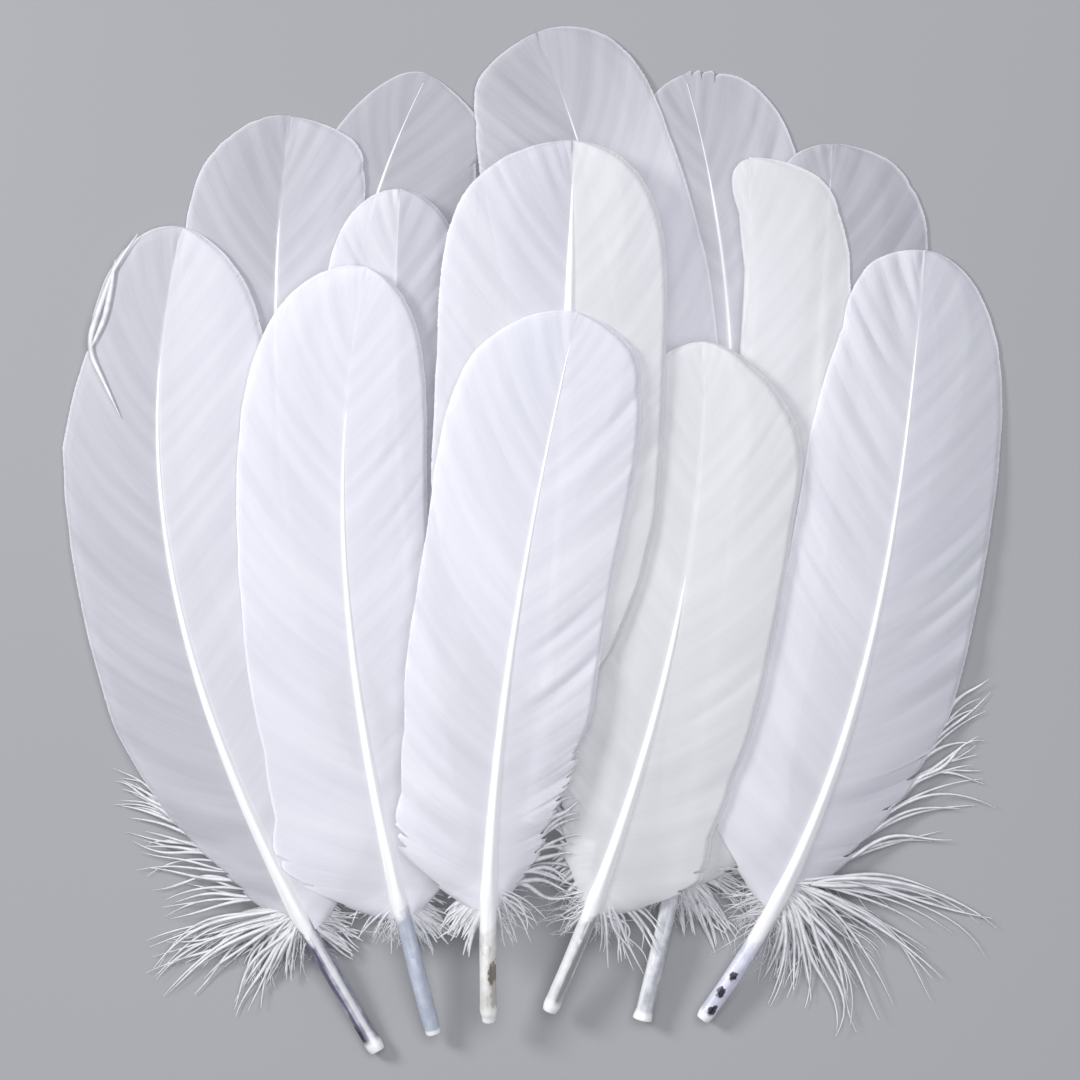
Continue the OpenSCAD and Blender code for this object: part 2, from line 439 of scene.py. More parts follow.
def vane(quill, part, material, style):
    """One vane, as a sheet whose grid has two rows of points for each barb."""
    side = SIDES[part]
    rng = np.random.default_rng(quill.rng.integers(1 << 30))
    outline = quill.outlines[side]
    vane_share = (outline[:, 0] / quill.length - BARE_SHARE) / (1 - BARE_SHARE)
    breadth = np.interp(vane_share, *zip(*style["edge"]))
    outline = outline * np.stack([np.ones(len(outline)), breadth], -1)

    # u runs from the foot to the tip, and v from the shaft to the rim
    rows = 2 * int((1 - VANE_FOOT) * quill.length / BARB_PITCH)
    u = 1 - (1 - np.arange(rows) / rows) ** TIP_CROWDING
    even = np.linspace(0, 1, BARB_STEPS)
    v = mix(even, 0.5 - 0.5 * np.cos(np.pi * even), 0.6)

    root_t = mix(VANE_FOOT, VANE_END, u)
    inset = quill.shaft_r(root_t) * ROOT_INSET * quill.broad
    root_out = mix(inset, -SEAM_OVERLAP, quill.hidden(root_t))
    root = np.stack([root_t * quill.length, root_out], -1)
    angle = np.radians(np.interp(u, *BARB_ANGLE))
    ends = barb_ends(outline, root, angle)
    shift, notch, keep, lock = parted(partings(rng, style), u, v)
    size = barb_sizes(rng, style, u, lock) - notch

    # each barb is a curve from its root, past a knee, to its end
    span = np.linalg.norm(ends - root, axis=1)
    bend = angle + np.radians(np.interp(u, *BARB_BEND))
    knee = root + 0.5 * (span * size)[:, None] * np.stack([np.cos(bend), np.sin(bend)], -1)
    end = root + (ends - root) * size[:, None]
    w = v[None, :, None]
    path = root[:, None] * (1 - w) ** 2 + 2 * knee[:, None] * w * (1 - w) + end[:, None] * w**2
    out = path[..., 1]
    flat = quill.place(path[..., 0] + shift, out, side)

    # folded, settled on what lies under it, and with its root just under the other vane's
    strength = spread_out(style["fold"], u)[:, None] * MM
    z = quill.web_height(flat, out / outline[:, 1].max())
    z = z + folds(rng, u[:, None], v, strength) * np.clip(dome(flat) * 2.5, 0.2, 1)
    edge_wish = spread_out(style["droop"], u)[:, None] * v**1.8
    wish = np.maximum(edge_wish, quill.tip_wish(root_t)[:, None])
    z = quill.settled(flat, z, wish + style["curl"] * smooth((v - 0.93) / 0.07) ** 2)
    z = z - 0.03 * MM * (side > 0) * (1 - smooth(v * 12))
    z = z + np.where(np.arange(rows) % 2, -1, 1)[:, None] * BARB_RELIEF * smooth(v * 8)
    z = np.maximum(z, 0.1 * MM)

    points = np.concatenate([flat, z[..., None]], -1)
    rim = points[:, -1]
    quill.rims[side] = np.maximum.accumulate(quill.measure(rim[:, :2], side)[0]), rim
    points = points.reshape(-1, 3)
    barb_map = np.broadcast_arrays(root[:, :1] / MM, v * (span / MM)[:, None])
    share_map = np.broadcast_arrays(u[:, None], v)
    maps = {"barb": np.stack(barb_map, -1).reshape(-1, 2), "share": np.stack(share_map, -1).reshape(-1, 2)}
    faces = grid_faces(rows, BARB_STEPS)[keep]
    if side < 0:
        faces = faces[:, ::-1]
    name = f"{quill.name}_{part}"
    new_piece(f"{name}_web", quill, name, points, faces, material, maps)
    return points


def shaft_radius(quill, rings, turn, lip):
    """The shaft's radius round each of its rings. Above the barrel it is flatter, with a shallow
    groove along the underside, and at the tip it is as thin as a hair."""
    solid = smooth((rings - BARREL_SHARE) / 0.06)[:, None]
    square = 1 + 0.08 * solid * np.cos(4 * turn)
    groove = 1 - 0.25 * solid * np.exp(-(((turn - 1.5 * np.pi) / 0.35) ** 2))
    from_end = rings * quill.length / MM
    waist = 1 + 0.015 * np.sin(from_end / 3.1 + quill.bow * 900) * (1 - solid[:, 0])
    ending = mix(1, 0.25, smooth((rings - 0.8) / (SHAFT_END - 0.8)))
    broad = mix(1, quill.broad, smooth((rings - 0.4) / 0.3))
    lipped = np.interp(from_end, np.arange(len(lip)), lip)
    radius = quill.shaft_r(rings) * lipped * waist * ending * broad
    return radius[:, None] * square * groove


def shaft(quill, material, lip):
    """The barrel's outer wall, round its open end and down its hollow, and the solid shaft above it.
    lip holds the barrel's radius at each millimetre from its open end, as a share of the full one."""
    rings = np.r_[np.linspace(0, 0.2, 90), np.linspace(0.2, SHAFT_END, 150)[1:]]
    turn = np.linspace(0, 2 * np.pi, 24, endpoint=False)
    centre = quill.shaft_points(rings)
    ahead = np.gradient(centre, axis=0)
    ahead /= np.linalg.norm(ahead, axis=1, keepdims=True)
    right = np.concatenate([right_of(ahead[:, :2]), np.zeros((len(rings), 1))], -1)
    up = np.cross(right, ahead)
    radius = shaft_radius(quill, rings, turn, lip)
    tube = (
        centre[:, None]
        + (radius * np.cos(turn))[..., None] * right[:, None]
        + (radius * np.sin(turn))[..., None] * up[:, None]
    )

    round_end = np.cos(turn)[:, None] * right[0] + np.sin(turn)[:, None] * up[0]
    inner = [
        centre[0] + ahead[0] * depth * MM + BARREL_R * share * lip[0] * round_end
        for share, depth in HOLLOW
    ]
    points = np.concatenate([inner, tube])
    distance = np.r_[[max(depth, 0) for share, depth in HOLLOW], rings * quill.length / MM]
    uv = np.stack(np.broadcast_arrays(turn / (2 * np.pi), distance[:, None]), -1).reshape(-1, 2)
    faces = grid_faces(len(points), len(turn), closed=True).reshape(-1, 4)
    name = f"{quill.name}_shaft"
    points = points.reshape(-1, 3)
    new_piece(f"{name}_tube", quill, name, points, faces, material, {"barb": uv})
    return points


def strands(paths, widths):
    """Slim four-sided strands along paths (n, k, 3), with half widths (n, k): points, faces and a
    map that gives each strand its own place in the noise."""
    n, k, _ = paths.shape
    way = np.gradient(paths, axis=1)
    way /= np.linalg.norm(way, axis=-1, keepdims=True) + 1e-12
    side = np.zeros_like(way)
    side[..., :2] = right_of(way[..., :2] + 1e-9)
    lift = np.cross(side, way)
    side, lift = side * widths[..., None], lift * widths[..., None] * STRAND_FLATNESS
    points = np.stack([paths - side, paths - lift, paths + side, paths + lift], 2)
    faces = grid_faces(k, 4, closed=True).reshape(-1, 4)
    faces = (faces[None] + (np.arange(n) * k * 4)[:, None, None]).reshape(-1, 4)
    number = np.broadcast_to(np.arange(n)[:, None, None] * 3.7, (n, k, 4))
    along = np.broadcast_to(np.linspace(0, 30, k)[:, None], (n, k, 4))
    return points.reshape(-1, 3), faces, np.stack([number, along], -1).reshape(-1, 2)


def stray(quill, part, material, places):
    """A barb that has come loose and lies curled on its vane, through places (share, mm out)."""
    share, out = np.array(places).T
    corners = quill.place(share * quill.length, out * MM, SIDES[part])
    flat = rounded_path(corners, 60, 1.2 * MM)
    path = np.concatenate([flat, quill.pile.height(flat)[:, None] + 0.2 * MM], -1)
    widths = 0.7 * MM * np.sin(np.pi * np.linspace(0.03, 0.98, len(path))) ** 0.7
    points, faces, uv = strands(path[None], widths[None])
    node = f"{quill.name}_{part}"
    new_piece(f"{node}_stray", quill, node, points, faces, material, {"barb": uv})


def fringe(paths, rng, count):
    """Fine barbules off both sides of every strand, count of them on each."""
    n, k, _ = paths.shape
    share = rng.uniform(0.06, 0.97, (n, count))
    at = share * (k - 1)
    low = np.minimum(at.astype(int), k - 2)
    row = np.arange(n)[:, None]
    base = mix(paths[row, low], paths[row, low + 1], (at - low)[..., None])
    ahead = paths[row, low + 1] - paths[row, low]
    ahead /= np.linalg.norm(ahead, axis=-1, keepdims=True)
    out = np.zeros_like(ahead)
    out[..., :2] = right_of(ahead[..., :2]) * rng.choice([-1, 1], (n, count, 1))
    reach = BARBULE * rng.uniform(0.5, 1.2, (n, count, 1)) * (1 - 0.4 * share[..., None])
    way = out + ahead * rng.uniform(0.5, 1.3, (n, count, 1)) + [0, 0, 0.4] * rng.normal(size=(n, count, 1))
    s = np.linspace(0, 1, 4)[:, None]
    curl = ahead * rng.uniform(0, 0.6, (n, count, 1))
    fine = base[..., None, :] + reach[..., None, :] * (way[..., None, :] * s + curl[..., None, :] * s**2)
    thin = np.broadcast_to(BARBULE_HALF_WIDTH * (1 - 0.8 * s[:, 0]), (n * count, 4))
    return strands(fine.reshape(-1, 4, 3), thin)


def strand_starts(quill, side, group, spread):
    """Where strands start, at a distance out from the shaft or just under the rim of the web, and
    the shaft's heading there."""
    share = spread_out(group["along"], spread)
    ahead = quill.heading(share)
    if group.get("rim"):
        rim_share, rim = quill.rims[side]
        start = np.stack([np.interp(share, rim_share, rim[:, k]) for k in range(3)], -1)
        start[:, :2] -= side * right_of(ahead) * 0.8 * MM
        start[:, 2] -= 0.3 * MM
    else:
        out = spread_out(group.get("out", 0.8), spread) * MM
        flat = quill.place(share * quill.length, out, side)
        start = np.concatenate([flat, quill.web_height(flat)[:, None] - 0.5 * MM], -1)
    return start, ahead


def strand_paths(pile, side, start, ahead, angle, length, group, rng):
    """Curved paths. angle is from straight out of the shaft towards the barrel's open end, and a
    strand turns by the group's curve on its way."""
    n = len(start)
    sideways = right_of(ahead) * side
    s = np.linspace(0, 1, STRAND_STEPS)
    bend = np.radians(group["curve"] + 12 * rng.normal(size=(n, 1)))
    wobble = group["wobble"] * rng.normal(size=(n, 1))
    turn = angle[:, None] + bend * s + wobble * np.sin(s * rng.uniform(4, 8, (n, 1)))
    way = sideways[:, None] * np.cos(turn)[..., None] - ahead[:, None] * np.sin(turn)[..., None]
    stride = (length / (STRAND_STEPS - 1))[:, None, None]
    flat = start[:, None, :2] + np.concatenate([np.zeros((n, 1, 2)), np.cumsum(way[:, :-1] * stride, 1)], 1)
    top = start[:, 2:]
    under = pile.height(flat) + 0.2 * MM
    low = np.maximum(under, top - 0.3 * length[:, None])
    z = mix(np.maximum(top, under), low, smooth(s * 1.2))
    rise = rng.uniform(*group["rise"], (n, 1)) * MM
    z = z + rise * np.sin(s * np.pi * rng.uniform(0.5, 0.95, (n, 1)))
    return np.concatenate([flat, z[..., None]], -1)


def strand_group(quill, side, group, rng):
    """Meshes for one group of strands on one side of a quill."""
    n = group["count"]
    spread = np.sort(rng.uniform(0, 1, n))
    if "locks" in group:
        locks = group["locks"]
        spread = np.floor(spread * locks) / locks + 0.5 / locks + rng.normal(size=n) * 0.12 / locks
    start, ahead = strand_starts(quill, side, group, spread)
    mess = group["mess"] * rng.normal(size=n)
    angle = np.radians(spread_out(group["angle"], spread) + mess)
    shortest = group.get("short", 0.75)
    length = spread_out(group["length"], spread) * MM * rng.uniform(shortest, 1.15, n)
    paths = strand_paths(quill.pile, side, start, ahead, angle, length, group, rng)
    s = np.linspace(0, 1, STRAND_STEPS)
    thick = group["width"] * MM * rng.uniform(0.7, 1.2, (n, 1))
    meshes = [strands(paths, thick * mix(0.5, 1, smooth(s * 5)) * (1 - 0.88 * s**2))]
    if "barbules" in group:
        meshes.append(fringe(paths, rng, group["barbules"]))
    return meshes


def down(quill, material, style):
    """Loose down and loose barbs, in the groups that the style gives for each side."""
    rng = np.random.default_rng(quill.rng.integers(1 << 30))
    meshes = []
    for side, groups in style.items():
        for group in groups:
            meshes += strand_group(quill, side, group, rng)
    first = np.cumsum([0] + [len(mesh[0]) for mesh in meshes[:-1]])
    points = np.concatenate([mesh[0] for mesh in meshes])
    points[:, 2] = np.maximum(points[:, 2], 0.05 * MM)
    faces = np.concatenate([mesh[1] + start for mesh, start in zip(meshes, first)])
    uv = np.concatenate([mesh[2] for mesh in meshes])
    name = f"{quill.name}_down"
    new_piece(f"{name}_strands", quill, name, points, faces, material, {"barb": uv})


# ---- Materials


BUMP_DEPTH = 0.1 * MM
FLUFF_WHITE = (0.92, 0.92, 0.94)
# painted highlight: the colour laid along the outer rim of every web
RIM_HIGHLIGHT = (0.93, 0.93, 0.95)
LIP_WHITE = (0.94, 0.94, 0.93)
SOLID_SHAFT = [(0.35, (0.88, 0.88, 0.88)), (0.65, (0.97, 0.97, 0.97))]


class Nodes:
    """Short calls for building one material's nodes."""

    def __init__(self, name):
        self.material = bpy.data.materials.new(name)
        self.material.use_nodes = True
        self.tree = self.material.node_tree
        self.tree.nodes.clear()

    def add(self, kind, inputs=(), **settings):
        """A new node, with its settings and inputs."""
        node = self.tree.nodes.new(f"ShaderNode{kind}")
        for key, value in settings.items():
            setattr(node, key, value)
        for key, value in dict(inputs).items():
            self.put(node.inputs[key], value)
        return node

    def put(self, socket, value):
        """Links another socket to this one, or sets this one's own value."""
        if isinstance(value, bpy.types.NodeSocket):
            self.tree.links.new(value, socket)
        else:
            socket.default_value = value

    def noise(self, vector, scale, detail=2.0, rough=0.5):
        """Noise whose scale differs along x and y."""
        vector = self.add("Mapping", {"Vector": vector, "Scale": (*scale, 1)}).outputs["Vector"]
        node = self.add("TexNoise", {"Vector": vector, "Scale": 1.0, "Detail": detail, "Roughness": rough})
        return node.outputs["Fac"]

    def ramp(self, fac, stops):
        """A colour ramp with stops of (place, colour)."""
        node = self.add("ValToRGB", {"Fac": fac})
        ramp = node.color_ramp
        while len(ramp.elements) < len(stops):
            ramp.elements.new(0.5)
        for element, (place, colour) in zip(ramp.elements, stops):
            element.position = place
            element.color = (*colour, 1)
        return node.outputs["Color"]

    def span(self, value, low, high, start=0.0, end=1.0):
        """Maps low..high to start..end, and no further."""
        inputs = {"Value": value, "From Min": low, "From Max": high, "To Min": start, "To Max": end}
        return self.add("MapRange", inputs).outputs["Result"]

    def math(self, operation, a, b):
        return self.add("Math", {0: a, 1: b}, operation=operation).outputs[0]

    def apart(self, a, b):
        """How far apart two values are."""
        return self.math("ABSOLUTE", self.math("SUBTRACT", a, b), 0.0)

    def over(self, fac, below, above):
        """One colour over another."""
        above = above if isinstance(above, bpy.types.NodeSocket) else (*above, 1)
        return self.add("MixRGB", {"Fac": fac, "Color1": below, "Color2": above}).outputs["Color"]

    def bump(self, height, strength):
        node = self.add("Bump", {"Height": height, "Strength": strength, "Distance": BUMP_DEPTH})
        return node.outputs["Normal"]

    def blend(self, fac, a, b):
        return self.add("MixShader", {0: fac, 1: a, 2: b}).outputs[0]

    def thin(self, colour, bump, glow, clear, **finish):
        """A surface that lets some light through and can be seen through a little."""
        skin = self.add("BsdfPrincipled", {"Base Color": colour, "Normal": bump, **finish})
        through = self.add("BsdfTranslucent", {"Color": colour, "Normal": bump})
        body = self.blend(glow, skin.outputs[0], through.outputs[0])
        gap = self.add("BsdfTransparent", {"Color": (1, 1, 1, 1)})
        self.add("OutputMaterial", {"Surface": self.blend(clear, body, gap.outputs[0])})
        return self.material


def vane_material(name, low, tip):
    """A silky web of barbs with faint streaks along them, a little denser at its rim, where a painted
    highlight also lightens it. Its tones turn from the low look's to the tip look's along the vane, and
    the darker looks are painted shade. It is as see-through as the low look."""
    n = Nodes(name)
    uv = n.add("UVMap", uv_map="barb").outputs["UV"]
    share = n.add("SeparateXYZ", {"Vector": n.add("UVMap", uv_map="share").outputs["UV"]})
    along, out = share.outputs["X"], share.outputs["Y"]
    fine = n.noise(uv, (2.4, 0.05), 3.0, 0.6)
    broad = n.noise(uv, (0.2, 0.02), 2.0)
    tone = n.math("ADD", n.math("MULTIPLY", fine, 0.18), n.math("MULTIPLY", broad, 0.82))
    colours = [n.ramp(tone, [(0.35, look["dark"]), (0.65, look["light"])]) for look in (low, tip)]
    # the tip look is in many webs darker: painted shade along the vane
    colour = n.over(n.span(along, *TIP_FADE), *colours)
    rim = n.span(out, 0.965, 0.995)
    # painted highlight: the outermost rim of the web is lightened towards white, and the same mask makes it
    # less see-through there
    colour = n.over(n.math("MULTIPLY", rim, 0.3), colour, RIM_HIGHLIGHT)
    gaps = n.span(n.math("ADD", n.math("MULTIPLY", fine, 0.25), rim), 0.0, 1.1, 1.15 * low["clear"], 0)
    finish = {"Roughness": 0.5, "Specular IOR Level": 0.35, "Sheen Weight": 0.15}
    return n.thin(colour, n.bump(fine, 0.08), 0.35, gaps, **finish)


def paint_streaks_and_highlights(n, colour, around, streak, streaks_and_highlights):
    """Ragged lines of (turn, half width, colour) along the barrel; the white ones are painted highlights."""
    for turn, half, above in streaks_and_highlights:
        ragged = n.math("ADD", n.apart(around, turn), n.span(streak, 0.2, 0.8, -0.06, 0.06))
        colour = n.over(n.span(ragged, half, 0.4 * half, 0, 0.85), colour, above)
    return colour


def stained(n, colour, along, around, speckle, stains):
    """Ragged oval marks of (distance, half length, turn, half width, colour)."""
    for distance, half, turn, half_turn, above in stains:
        away, aside = n.apart(along, distance), n.apart(around, turn)
        away = n.math("POWER", n.math("DIVIDE", away, half), 2)
        aside = n.math("POWER", n.math("DIVIDE", aside, half_turn), 2)
        far = n.math("ADD", n.math("ADD", away, aside), n.span(speckle, 0.3, 0.7, -0.6, 0.6))
        colour = n.over(n.span(far, 1.2, 0.7), colour, above)
    return colour


def horn_material(name, look):
    """Keratin: bright and solid beside the vanes, and below them a see-through barrel with dried
    pith, long streaks, painted highlights and stains. Places are millimetres from the open end and shares of
    a turn from the right side, over the top, to the left."""
    n = Nodes(name)
    uv = n.add("UVMap", uv_map="barb").outputs["UV"]
    place = n.add("SeparateXYZ", {"Vector": uv})
    around, along = place.outputs["X"], place.outputs["Y"]
    streak = n.noise(uv, (11, 0.07), 3.0)
    cloud = n.noise(uv, (4, 0.3), 2.5, 0.55)
    speckle = n.noise(uv, (14, 0.9))
    mottle = n.math("ADD", n.math("MULTIPLY", streak, 0.5), n.math("MULTIPLY", cloud, 0.5))
    barrel = n.ramp(mottle, look["barrel"])
    # lines along the barrel; the white ones are painted highlights
    barrel = paint_streaks_and_highlights(n, barrel, around, streak, look["streaks_and_highlights"])
    barrel = stained(n, barrel, along, around, speckle, look["stains"])
    rim = look["rim"]
    barrel = n.over(n.span(along, rim, 0.6 * rim, 0, 0.9), barrel, LIP_WHITE)
    upper = n.ramp(streak, SOLID_SHAFT)

    # the pith ends in a ragged wedge, and the barrel is clear from there down to its rim
    aside = n.apart(around, 0.3)
    edge = n.math("ADD", n.span(aside, 0, 0.3, 0, look["wedge"]), n.span(cloud, 0.3, 0.7, -1.5, 1.5))
    solid = n.span(n.math("SUBTRACT", along, edge), look["pith_from"], look["pith_from"] + 2)
    colour = n.over(solid, barrel, upper)
    clear = n.math("MULTIPLY", n.span(solid, 0, 1, look["clear"], 0), n.span(cloud, 0.3, 0.7, 1.0, 0.6))
    clear = n.math("MULTIPLY", clear, n.span(along, 0.5 * rim, rim))
    return n.thin(colour, n.bump(streak, 0.2), 0.2, clear, **{"Roughness": 0.28, "Specular IOR Level": 0.5})


def down_material(name, colour):
    """Fluff in one colour, a little darker in places."""
    n = Nodes(name)
    uv = n.add("UVMap", uv_map="barb").outputs["UV"]
    tone = n.noise(uv, (1, 0.3))
    shade = n.ramp(tone, [(0.35, tuple(c * 0.86 for c in colour)), (0.6, colour)])
    return n.thin(shade, n.bump(tone, 0.1), 0.35, 0.0, **{"Roughness": 0.6, "Sheen Weight": 0.2})


def floor_material():
    n = Nodes("pale_floor")
    tone = n.noise(n.add("TexCoord").outputs["Object"], (3, 3))
    colour = n.ramp(tone, [(0.3, FLOOR_TONES[0]), (0.7, FLOOR_TONES[1])])
    skin = n.add("BsdfPrincipled", {"Base Color": colour, "Roughness": 0.7})
    n.add("OutputMaterial", {"Surface": skin.outputs[0]})
    return n.material


# ---- The floor, the lights and the camera

FLOOR_TONES = ((0.275, 0.28, 0.29), (0.295, 0.30, 0.31))
FLOOR_HALF = 3.0
FLOOR_DROP = 0.2 * MM
KEY_POWER = 12.5
TOP_POWER = 6.2
SKY_STRENGTH = 0.35
LENS, SENSOR = 200, 36
MARGIN = 1.05
CAMERA_ASIDE = 1.6 * MM  # how far right of the fan's middle the camera stands


def area_light(name, place, size, power, colour=(1, 1, 1)):
    """A round soft light that points at the origin."""
    light = bpy.data.lights.new(name, "AREA")
    light.shape = "DISK"
    light.size = size
    light.energy = power
    light.color = colour
    lamp = bpy.data.objects.new(name, light)
    lamp.location = place
    lamp.rotation_mode = "QUATERNION"
    lamp.rotation_quaternion = Vector(place).to_track_quat("Z", "Y")
    bpy.context.collection.objects.link(lamp)


def lay_floor():
    """A wide plain floor just under the fan."""
    corners = [(x * FLOOR_HALF, y * FLOOR_HALF, 0) for x, y in ((-1, -1), (1, -1), (1, 1), (-1, 1))]
    mesh = bpy.data.meshes.new("floor")
    mesh.from_pydata(corners, [], [(0, 1, 2, 3)])
    mesh.materials.append(floor_material())
    floor = bpy.data.objects.new("floor", mesh)
    floor.location.z = -FLOOR_DROP
    bpy.context.collection.objects.link(floor)


def hang_lights():
    """A key light from the upper left, a broad soft one from above, and a faint sky."""
    area_light("key", (-0.95, 0.45, 0.75), 0.4, KEY_POWER)
    area_light("top", (0.1, 0.1, 0.9), 0.8, TOP_POWER, (0.95, 0.96, 1.0))
    world = bpy.data.worlds.new("studio")
    world.use_nodes = True
    sky = world.node_tree.nodes["Background"].inputs
    sky["Color"].default_value = (0.9, 0.92, 1.0, 1)
    sky["Strength"].default_value = SKY_STRENGTH
    bpy.context.scene.world = world
    bpy.context.scene.view_settings.view_transform = "Standard"


def set_camera(low, high):
    """Looks straight down, from as far as it takes to see the fan's whole length."""
    lens = bpy.data.cameras.new("camera")
    lens.lens = LENS
    lens.sensor_width = SENSOR
    seen = MARGIN * (high[1] - low[1])
    middle = [(a + b) / 2 for a, b in zip(low, high)]
    eye = bpy.data.objects.new("camera", lens)
    eye.location = (middle[0] + CAMERA_ASIDE, middle[1], seen * LENS / SENSOR)
    bpy.context.collection.objects.link(eye)
    bpy.context.scene.camera = eye


# ---- The styles

FIRST_SEED = 100
# in many webs the tip look is a darker look of painted shade
TIP_FADE = (0.62, 0.85)  # shares of a vane's length between which its look turns

# A web's look: the dark and light tones of its streaks, and how see-through it is between barbs
COOL = {"dark": (0.80, 0.80, 0.85), "light": (0.88, 0.88, 0.92), "clear": 0.14}
WARM = {"dark": (0.81, 0.81, 0.82), "light": (0.87, 0.87, 0.875), "clear": 0.12}
# painted shade: the next three looks are darker copies of the same web, for webs that should look dimmer
RIM_SHADE = {"dark": (0.64, 0.64, 0.695), "light": (0.74, 0.74, 0.79), "clear": 0.22}
BACK_SHADE = {"dark": (0.55, 0.55, 0.595), "light": (0.65, 0.65, 0.695), "clear": 0.24}
EDGE_SHADE = {"dark": (0.75, 0.75, 0.81), "light": (0.84, 0.84, 0.89), "clear": 0.18}

# Looks of each quill's left and right web: low down, where others lie under it, and at its tip. The darker
# looks among them are painted shade.
WEBS = {
    "back_1": ((RIM_SHADE, BACK_SHADE), (EDGE_SHADE, RIM_SHADE)),
    "back_2": ((BACK_SHADE, BACK_SHADE), (BACK_SHADE, BACK_SHADE)),
    "back_3": ((RIM_SHADE, BACK_SHADE), (COOL, BACK_SHADE)),
    "back_4": ((COOL, BACK_SHADE), (EDGE_SHADE, BACK_SHADE)),
    "back_5": ((EDGE_SHADE, BACK_SHADE), (BACK_SHADE, BACK_SHADE)),
    "middle_1": ((COOL, COOL), (RIM_SHADE, RIM_SHADE)),
    "middle_2": ((COOL, RIM_SHADE), (WARM, WARM)),
    "front_1": ((RIM_SHADE, RIM_SHADE), (COOL, COOL)),
    "front_2": ((COOL, COOL), (COOL, COOL)),
    "front_3": ((COOL, EDGE_SHADE), (COOL, EDGE_SHADE)),
    "front_4": ((WARM, WARM), (WARM, WARM)),
    "front_5": ((WARM, WARM), (WARM, WARM)),
    "front_6": ((COOL, COOL), (EDGE_SHADE, EDGE_SHADE)),
}

# Where a shaft is lost under its web, as a share of the quill's length, and how broad it is above
SHAFTS = {
    "back_1": (0.9, 1),
    "back_2": (0.99, 1),
    "back_3": (0.98, 0.8),
    "back_4": (0.93, 0.9),
    "back_5": (0.99, 1.6),
    "middle_1": (0.75, 1),
    "middle_2": (0.99, 1.9),
    "front_1": (0.9, 1),
    "front_2": (0.84, 1),
    "front_3": (0.97, 1),
    "front_4": (0.68, 1),
    "front_5": (0.66, 1),
    "front_6": (0.97, 1),
}

VANE = {
    "droop": 1.5,  # how far the edge settles below the CAD's vane, where there is room
    "curl": 0.5,  # how far the outermost millimetre bends down
    "fold": 0.1,  # height of the folds along the barbs
    "ragged": 0.0012,  # how much the lengths of neighbouring barbs differ
    "edge": ((0, 1), (1, 1)),  # width against the CAD's vane, at shares of the vane's length
    "splits": (),  # (share of the vane, share of the way out where it begins, opening in mm)
    "loose": 0.06,  # share of the vane that hangs in locks
    "lock": 0.02,  # length of a lock along the vane
    "lock_depth": (0.85, 0.96),  # where the gaps between locks begin, on the way out
    "lock_jitter": 0.02,  # how much the lengths of locks differ
}

FINE_LOCKS = {"loose": 0.2, "lock": 0.012, "lock_depth": (0.82, 0.95), "lock_jitter": 0.025}
FULL_FOOT = ((0, 1.7), (0.06, 1.5), (0.16, 1.12), (0.26, 1))

